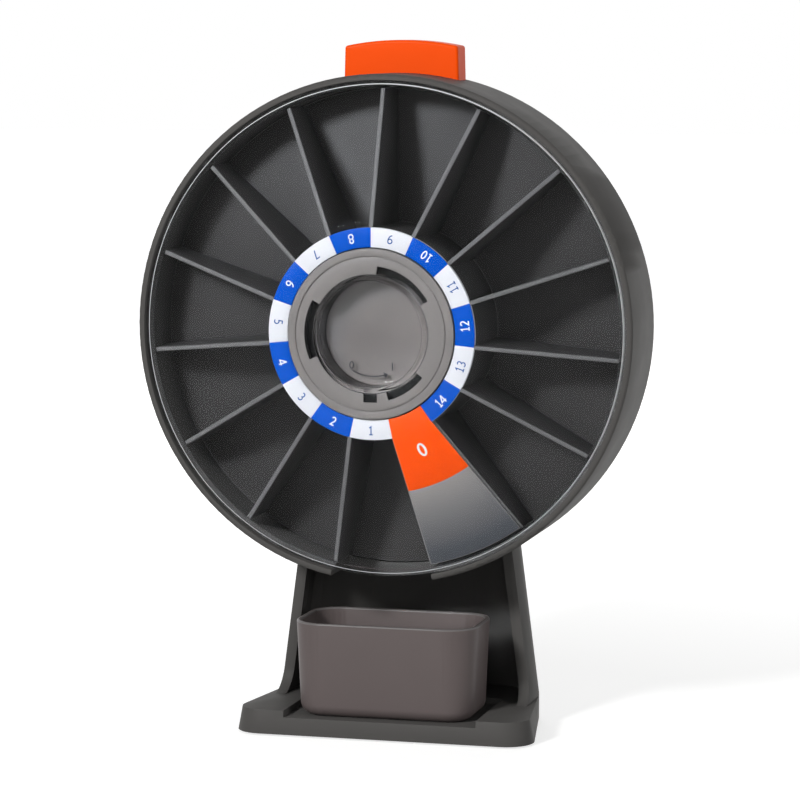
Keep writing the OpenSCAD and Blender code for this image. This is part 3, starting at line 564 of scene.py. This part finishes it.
def swept(work, rows, closed=False):
    """Adds a closed band through rows of four corners."""
    made = [] if closed else [work.faces.new(rows[0]), work.faces.new(list(reversed(rows[-1])))]
    for one, two in zip(rows, rows[1:] + (rows[:1] if closed else [])):
        for i in range(4):
            j = (i + 1) % 4
            made.append(work.faces.new([one[i], two[i], two[j], one[j]]))
    bmesh.ops.recalc_face_normals(work, faces=made)


def ribbon(work, line, half_w, half_t):
    """Adds one stroke along a line of points, with its turns mitred."""
    closed = (line[0] - line[-1]).length < 1e-6
    if closed:
        line = line[:-1]
    rows = []
    for i, here in enumerate(line):
        last = here - line[i - 1] if i or closed else line[i + 1] - here
        after = line[(i + 1) % len(line)] - here if i + 1 < len(line) or closed else last
        across = (last.normalized() + after.normalized()).orthogonal().normalized()
        reach = half_w / max(abs(across.dot(last.orthogonal().normalized())), sharpest_mitre)
        rows.append([work.verts.new((*(here + across * side * reach), z))
                     for side, z in [(1, -half_t), (-1, -half_t), (-1, half_t), (1, half_t)]])
    swept(work, rows, closed)


def printed(name, words, height, weight, squeeze=1.0):
    """A flat mark about its own middle, in strokes whose weight is a share of its height."""
    work = bmesh.new()
    for place, figure in enumerate(words):
        for stroke in strokes[figure]:
            line = [Vector((x + figure_step * place, y)) for x, y in stroke]
            ribbon(work, line, weight / 2, print_t / 2 / height)
    mesh = bpy.data.meshes.new(name)
    work.to_mesh(mesh)
    work.free()
    xs = [v.co.x for v in mesh.vertices]
    ys = [v.co.y for v in mesh.vertices]
    middle = Vector(((max(xs) + min(xs)) / 2, (max(ys) + min(ys)) / 2, 0))
    mesh.transform(Matrix.Diagonal((height * squeeze, height, height, 1)) @ Matrix.Translation(-middle))
    return mesh


def on_the_ring(mesh, angle, radius, front, tilt=0.0):
    """Sets a mark on the wheel's face at an angle and radius, its top towards the hub."""
    mesh.transform(on_axis @ Matrix.Rotation(math.radians(angle), 4, "Z")
                   @ Matrix.Translation((radius, 0, front)) @ Matrix.Rotation(tilt, 4, "Y")
                   @ Matrix.Rotation(math.pi / 2, 4, "Z"))


def joined(name, meshes, finish):
    """Several marks as one piece."""
    work = bmesh.new()
    for mesh in meshes:
        work.from_mesh(mesh)
        bpy.data.meshes.remove(mesh)
    bmesh.ops.remove_doubles(work, verts=work.verts, dist=0.0005 * MM)
    bmesh.ops.recalc_face_normals(work, faces=work.faces)
    whole = bpy.data.meshes.new(name)
    work.to_mesh(whole)
    work.free()
    whole.materials.append(finish)
    piece = bpy.data.objects.new(name, whole)
    bpy.context.scene.collection.objects.link(piece)
    return piece


print_blue = moulded_plastic("print_blue", (0.010, 0.085, 0.30), 0.55, mottle=0.05, grain=0.001)
print_white = moulded_plastic("print_white", (0.86, 0.86, 0.87), 0.55, mottle=0.02, grain=0.001)
number_h = 2.9 * MM
number_r = 30.0 * MM
print_rise = 0.03 * MM
for name, first, weight, finish, slot in [("odd_numbers", 1, 0.115, print_blue, "blue_plastic"),
                                          ("even_numbers", 2, 0.135, print_white, "white_plastic")]:
    marks = []
    for number in range(first, positions, 2):
        mark = printed(name, str(number), number_h, weight)
        on_the_ring(mark, 270.0 - (number - 1) * pitch, number_r, ring_front + print_rise)
        marks.append(mark)
    numbers = joined(name, marks, finish)
    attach(numbers, "wheel")

flag_slope = math.atan2(ring_front + rim_back, wheel_r - ring_out_r)
zero_r = 39.0 * MM
zero = printed("start_zero", "0", 4.6 * MM, 0.15, 1.05)
on_the_ring(zero, first_divider + pitch / 2, zero_r, cone_front(zero_r) + print_rise,
            tilt=flag_slope)
start_zero = joined("start_zero", [zero], print_white)
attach(start_zero, "wheel")


# Clear cover: a shallow cone with a flat middle and a deep cup for the fingers, moulded
# in one clear piece with three lugs that lock behind the hub ring. The ridge at its rim
# is painted whitish and glows faintly, a painted highlight of the clear edge.
def clear_plastic(name, bend):
    """Clear plastic that lets the lamps' light through, with a trace of mould flow."""
    finish = bpy.data.materials.new(name)
    finish.use_nodes = True
    nodes, links = finish.node_tree.nodes, finish.node_tree.links
    shader = nodes["Principled BSDF"]
    shader.inputs["Base Color"].default_value = (0.975, 0.985, 1.0, 1.0)
    shader.inputs["Transmission Weight"].default_value = 1.0
    shader.inputs["IOR"].default_value = bend
    place = nodes.new("ShaderNodeTexCoord")
    flow = nodes.new("ShaderNodeTexNoise")
    flow.inputs["Scale"].default_value = 60.0
    flow.inputs["Detail"].default_value = 2.0
    links.new(place.outputs["Object"], flow.inputs["Vector"])
    polish = nodes.new("ShaderNodeMapRange")
    polish.inputs["To Min"].default_value = 0.015
    polish.inputs["To Max"].default_value = 0.045
    links.new(flow.outputs["Fac"], polish.inputs["Value"])
    links.new(polish.outputs["Result"], shader.inputs["Roughness"])
    ray = nodes.new("ShaderNodeLightPath")
    passing = nodes.new("ShaderNodeBsdfTransparent")
    passing.inputs["Color"].default_value = (0.93, 0.95, 0.97, 1.0)
    which = nodes.new("ShaderNodeMixShader")
    links.new(ray.outputs["Is Shadow Ray"], which.inputs[0])
    links.new(shader.outputs[0], which.inputs[1])
    links.new(passing.outputs[0], which.inputs[2])
    links.new(which.outputs[0], nodes["Material Output"].inputs["Surface"])
    return finish


def rounded(corners):
    """An outline whose corners, given as (radius, depth, rounding), are turned into arcs."""
    outline = []
    for i, (x, y, rounding) in enumerate(corners):
        here = Vector((x, y))
        if i in (0, len(corners) - 1) or rounding == 0:
            outline.append(here)
            continue
        before = (Vector(corners[i - 1][:2]) - here).normalized()
        after = (Vector(corners[i + 1][:2]) - here).normalized()
        half = before.angle(after) / 2
        middle = here + (before + after).normalized() * rounding / math.sin(half)
        start = here + before * rounding / math.tan(half) - middle
        sweep = start.angle_signed(here + after * rounding / math.tan(half) - middle)
        bends = 6
        for k in range(bends + 1):
            a = -sweep * k / bends
            outline.append(middle + Vector((start.x * math.cos(a) - start.y * math.sin(a),
                                            start.x * math.sin(a) + start.y * math.cos(a))))
    return outline


def turned(outline, steps):
    """A closed solid of revolution about the axis from an outline that starts and ends on it."""
    work = bmesh.new()
    rings = []
    for point in outline:
        if point.x < 1e-7:
            rings.append([work.verts.new((0, 0, point.y))] * steps)
        else:
            rings.append([work.verts.new((point.x * math.cos(2 * math.pi * k / steps),
                                          point.x * math.sin(2 * math.pi * k / steps), point.y))
                          for k in range(steps)])
    for one, two in zip(rings, rings[1:]):
        for k in range(steps):
            n = (k + 1) % steps
            corners = list(dict.fromkeys([one[k], one[n], two[n], two[k]]))
            if len(corners) > 2:
                work.faces.new(corners)
    bmesh.ops.recalc_face_normals(work, faces=work.faces)
    return work


def arc_block(work, r_in, r_out, back, front, first, last):
    """Adds an arc of a ring as a closed block, between two angles in degrees."""
    steps = 14
    rows = []
    for k in range(steps + 1):
        a = math.radians(first + (last - first) * k / steps)
        rows.append([work.verts.new((r * math.cos(a), r * math.sin(a), z))
                     for r, z in [(r_in, back), (r_out, back), (r_out, front), (r_in, front)]])
    swept(work, rows)


clear = clear_plastic("clear_plastic", 1.12)
clear_cup = clear_plastic("clear_cup_plastic", 1.27)
# Painted highlight: an opaque whitish finish with a faint glow of its own on the ridge, standing for
# light caught in the clear edge
clear_ridge_painted_highlight = moulded_plastic("clear_ridge_painted_glow", (0.72, 0.74, 0.76), 0.25, mottle=0.02, grain=0.001)
ridge_glow_shader = clear_ridge_painted_highlight.node_tree.nodes["Principled BSDF"]
ridge_glow_shader.inputs["Emission Color"].default_value = (1.0, 1.0, 1.0, 1.0)
ridge_glow_shader.inputs["Emission Strength"].default_value = 0.10
cover_low, cover_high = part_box("clear_cover")
cover_front = lip_y - cover_low.y
cover_rim_r = cover_high.x
cover_t = 1.6 * MM
cup_r = 18.3 * MM
cup_back = cover_front - 13.0 * MM
cover_back = cover_front - cover_t
flat_r = ring_out_r + 1.0 * MM
rim_in_r = wheel_r + 0.4 * MM
rim_back_z = -4.0 * MM
flange_z = -2.7 * MM
ridge_r = 77.0 * MM
ridge_z = -1.35 * MM
cover_outline = rounded([
    (0, cup_back, 0), (cup_r, cup_back, 1.2 * MM), (cup_r, cover_back, 0.3 * MM),
    (flat_r, cover_back, 3 * MM), (rim_in_r, 1 * MM - rim_back, 0.3 * MM),
    (rim_in_r, rim_back_z, 0.2 * MM), (cover_rim_r, rim_back_z, 0.3 * MM),
    (cover_rim_r, flange_z, 0.3 * MM), (ridge_r, flange_z, 0.15 * MM), (ridge_r, ridge_z, 0.4 * MM),
    (flat_r + 0.3 * cover_t, cover_front, 3 * MM), (cup_r - cover_t, cover_front, 0.7 * MM),
    (cup_r - cover_t, cup_back + cover_t, 1.0 * MM), (0, cup_back + cover_t, 0)])
work = turned(cover_outline, 192)
lug_r = cup_r + 2.6 * MM
lug_front = 10.2 * MM
lug_back = 8.2 * MM
lug_widths = {57: 24, 177: 22, 304: 6}
locked_by = 40
for slot_at, width in lug_widths.items():
    arc_block(work, cup_r - 0.02 * MM, lug_r, lug_back, lug_front,
              slot_at - locked_by - width / 2, slot_at - locked_by + width / 2)
cover_mesh = bpy.data.meshes.new("clear_cover_dressed")
work.to_mesh(cover_mesh)
work.free()
cover_mesh.materials.append(clear)
cover_mesh.materials.append(clear_cup)
cover_mesh.materials.append(clear_ridge_painted_highlight)
cup_end_r = lug_r + 0.1 * MM
ridge_in_r = ridge_r - 0.3 * MM
ridge_foot_z = flange_z + 0.05 * MM
# The cup's faces take the cup's clear plastic, and the ridge's faces take the painted highlight
for face in cover_mesh.polygons:
    out = math.hypot(face.center.x, face.center.y)
    if out < cup_end_r:
        face.material_index = 1
    elif out > ridge_in_r and face.center.z > ridge_foot_z:
        face.material_index = 2
cover_mesh.transform(on_axis)
cover_mesh.shade_smooth()
cover_mesh.set_sharp_from_angle(angle=math.radians(30))
cover = bpy.data.objects.new("clear_cover_dressed", cover_mesh)
bpy.context.scene.collection.objects.link(cover)
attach(cover, "cover")
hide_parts("clear_cover")

# Marks in the cup: a ring and a bar for shut and open, with an arc arrow under them, in faint
# gray relief on the cup's floor
mark_gray = moulded_plastic("cup_mark", (0.040, 0.042, 0.048), 0.35, mottle=0.05, grain=0.001)
cup_floor = cup_back + cover_t
marks = []
for name, words, x, y in [("shut_mark", "0", -8.6 * MM, -10.6 * MM),
                          ("open_mark", "|", 4.6 * MM, -10.8 * MM)]:
    mark = printed(name, words, 2.4 * MM, 0.14, 1.2)
    mark.transform(on_axis @ Matrix.Translation((x, y, cup_floor)))
    marks.append(mark)
arrow = bmesh.new()
arrow_r, arrow_w, arrow_h, arrow_shift = 14.2 * MM, 0.32 * MM, 0.08 * MM, -1.6 * MM
arc_block(arrow, arrow_r - arrow_w, arrow_r, cup_floor - arrow_h, cup_floor + arrow_h, 240, 286)
tip_angle = math.radians(290)
tip_len = 1.3 * MM
tip = [arrow.verts.new(Matrix.Rotation(tip_angle, 4, "Z") @ Vector((x, y, z)))
       for z in (cup_floor - arrow_h, cup_floor + arrow_h)
       for x, y in [(arrow_r - arrow_w / 2, 0), (arrow_r + 3 * arrow_w, -tip_len),
                    (arrow_r - 4 * arrow_w, -tip_len)]]
prism(arrow, tip[:3], tip[3:])
arrow_mesh = bpy.data.meshes.new("turn_arrow")
arrow.to_mesh(arrow_mesh)
arrow.free()
arrow_mesh.transform(on_axis @ Matrix.Translation((arrow_shift, 0, 0)))
marks.append(arrow_mesh)
cup_marks = joined("cup_marks", marks, mark_gray)
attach(cup_marks, "cover")

# Press button: a hollow cap of orange plastic whose top follows the housing. It is its solid,
# with the hollow and screw bosses, cut to a block with round edges and a little draft.
button_low, button_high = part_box("press_button")
inset = 0.03 * MM
top_inset = 0.04 * MM
top_r = button_high.z - axis_z - top_inset
half_w = button_high.x - inset
draft = 0.5 * MM
corner = 1.0 * MM
foot = button_low.z - axis_z - 1 * MM
shoulder = math.sqrt(top_r ** 2 - (half_w - draft) ** 2)
lean = math.asin((half_w - draft) / top_r)
top_bends = 22
top_line = [(top_r * math.sin(a), top_r * math.cos(a)) for a in
            [lean * (1 - 2 * k / top_bends) for k in range(1, top_bends)]]
right_side = rounded([(half_w, foot, 0), (half_w - draft, shoulder, corner),
                      (*top_line[0], 0)])[:-1]
left_side = [Vector((-p.x, p.y)) for p in reversed(right_side)]
outline = right_side + [Vector(p) for p in top_line[1:-1]] + left_side
block = bmesh.new()
back, front = [[block.verts.new((p.x, p.y, z)) for p in outline]
               for z in (lip_y - button_high.y + inset, lip_y - button_low.y - inset)]
prism(block, back, front)
block_mesh = bpy.data.meshes.new("button_block")
block.to_mesh(block_mesh)
block.free()
block_mesh.transform(on_axis)
button_block = bpy.data.objects.new("button_block", block_mesh)
bpy.context.scene.collection.objects.link(button_block)
soft = button_block.modifiers.new("soft_edges", "BEVEL")
soft.width = 0.9 * MM
soft.segments = 6
soft.limit_method = "ANGLE"
soft.angle_limit = math.radians(50)
soft.use_clamp_overlap = False
cap_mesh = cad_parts["press_button"].data.copy()
work = bmesh.new()
work.from_mesh(cap_mesh)
bmesh.ops.remove_doubles(work, verts=work.verts, dist=0.002 * MM)
work.to_mesh(cap_mesh)
work.free()
cap_mesh.materials.clear()
cap_mesh.materials.append(orange)
block_mesh.materials.append(orange)
cap = bpy.data.objects.new("press_button_dressed", cap_mesh)
bpy.context.scene.collection.objects.link(cap)
keep = cap.modifiers.new("round_outside", "BOOLEAN")
keep.operation = "INTERSECT"
keep.object = button_block
keep.solver = "EXACT"
shaded_by_angle(cap, 8)
bpy.data.objects.remove(button_block)
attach(cap, "button")
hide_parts("press_button")

# Screws: six pan heads hold the back cover and four hold the stand to it, all of one kind
# with a cross recess, sunk in their seats
steel = moulded_plastic("screw_steel", (0.46, 0.46, 0.48), 0.30, mottle=0.06, grain=0.006)
steel.node_tree.nodes["Principled BSDF"].inputs["Metallic"].default_value = 1.0
head_r = 2.7 * MM
head_t = 1.5 * MM
shank_r = 1.2 * MM
cross_w = 3.0 * MM
cross_t = 0.55 * MM
cross_deep = 1.7 * MM


def pan_head(name, length):
    """One screw, its head behind depth 0 with a cross cut into it, its shank to the front."""
    work = turned(rounded([(0, -head_t, 0), (head_r, -head_t, 0.9 * MM), (head_r, 0, 0.15 * MM),
                           (shank_r, 0, 0), (shank_r, length, 0.4 * MM), (0, length, 0)]), 32)
    mesh = bpy.data.meshes.new(name)
    work.to_mesh(mesh)
    work.free()
    piece = bpy.data.objects.new(name, mesh)
    bpy.context.scene.collection.objects.link(piece)
    cross = bmesh.new()
    for turn in (0, 90):
        bar = bmesh.ops.create_cube(cross, size=1.0)["verts"]
        bmesh.ops.transform(cross, verts=bar, matrix=Matrix.Rotation(math.radians(turn), 4, "Z")
                            @ Matrix.Translation((0, 0, -head_t))
                            @ Matrix.Diagonal((cross_w, cross_t, cross_deep, 1)))
    cutter_mesh = bpy.data.meshes.new(name + "_cross")
    cross.to_mesh(cutter_mesh)
    cross.free()
    cutter = bpy.data.objects.new(name + "_cross", cutter_mesh)
    bpy.context.scene.collection.objects.link(cutter)
    cut = piece.modifiers.new("cross", "BOOLEAN")
    cut.operation = "DIFFERENCE"
    cut.object = cutter
    cut.solver = "EXACT"
    cut.use_self = True
    shaded_by_angle(piece, 35)
    bpy.data.objects.remove(cutter)
    return piece


def set_at_places():
    """Geometry Nodes that set a piece on each point of a mesh."""
    tree = bpy.data.node_groups.new("set_at_places", "GeometryNodeTree")
    tree.interface.new_socket("Places", in_out="INPUT", socket_type="NodeSocketGeometry")
    tree.interface.new_socket("Piece", in_out="INPUT", socket_type="NodeSocketObject")
    tree.interface.new_socket("Finish", in_out="INPUT", socket_type="NodeSocketMaterial")
    tree.interface.new_socket("Pieces", in_out="OUTPUT", socket_type="NodeSocketGeometry")
    add, link = tree.nodes.new, tree.links.new
    start = add("NodeGroupInput")
    piece = add("GeometryNodeObjectInfo")
    link(start.outputs["Piece"], piece.inputs["Object"])
    placed = add("GeometryNodeInstanceOnPoints")
    link(start.outputs["Places"], placed.inputs["Points"])
    link(piece.outputs["Geometry"], placed.inputs["Instance"])
    real = add("GeometryNodeRealizeInstances")
    link(placed.outputs[0], real.inputs[0])
    finish = add("GeometryNodeSetMaterial")
    link(real.outputs[0], finish.inputs["Geometry"])
    link(start.outputs["Finish"], finish.inputs["Material"])
    end = add("NodeGroupOutput")
    link(finish.outputs[0], end.inputs[0])
    return tree


at_places = set_at_places()
screw_ring_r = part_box("housing_screws")[1].x - head_r
screw_angles = [0, 52, 128, 180, 228, 312]
ring_places = [(screw_ring_r * math.cos(math.radians(a)), screw_ring_r * math.sin(math.radians(a)))
               for a in screw_angles]
stand_places = [(side * x * MM, y * MM) for side in (-1, 1) for x, y in [(19, -25), (17, -56)]]
for node, places in [("housing_screws", ring_places), ("stand_screws", stand_places)]:
    low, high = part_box(node)
    seat = lip_y - high.y + head_t
    screw = pan_head(node + "_one", high.y - low.y - head_t)
    spots = bpy.data.meshes.new(node + "_dressed")
    spots.from_pydata([(x, y, seat) for x, y in places], [], [])
    screws = bpy.data.objects.new(node + "_dressed", spots)
    bpy.context.scene.collection.objects.link(screws)
    made = run_tree(screws, at_places, {"Piece": screw, "Finish": steel})
    made.transform(on_axis)
    bpy.data.objects.remove(screw)
    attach(screws, "frame")
    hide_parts(node)

# Inside: the ratchet on the wheel's back, the slide under the button with its pawl and
# return springs, the detent, the washer and the small screws keep their solids' shapes, in
# white acetal and steel.
spring_wire = moulded_plastic("spring_wire", (0.50, 0.50, 0.53), 0.26, mottle=0.05, grain=0.001)
spring_wire.node_tree.nodes["Principled BSDF"].inputs["Metallic"].default_value = 1.0
springs = carry_over("return_springs", 0, [spring_wire], "frame")
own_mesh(springs)
acetal = moulded_plastic("white_acetal", (0.66, 0.65, 0.61), 0.44, mottle=0.04)
for node, finish in [("ratchet_ring", acetal), ("button_slide", acetal), ("drive_pawl", acetal),
                     ("detent_spring", acetal), ("thrust_washer", acetal),
                     ("button_screws", steel), ("detent_screw", steel),
                     ("hub_screw", steel)]:
    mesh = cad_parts[node].data
    if mesh.materials:
        for i in range(len(mesh.materials)):
            mesh.materials[i] = finish
    else:
        mesh.materials.append(finish)
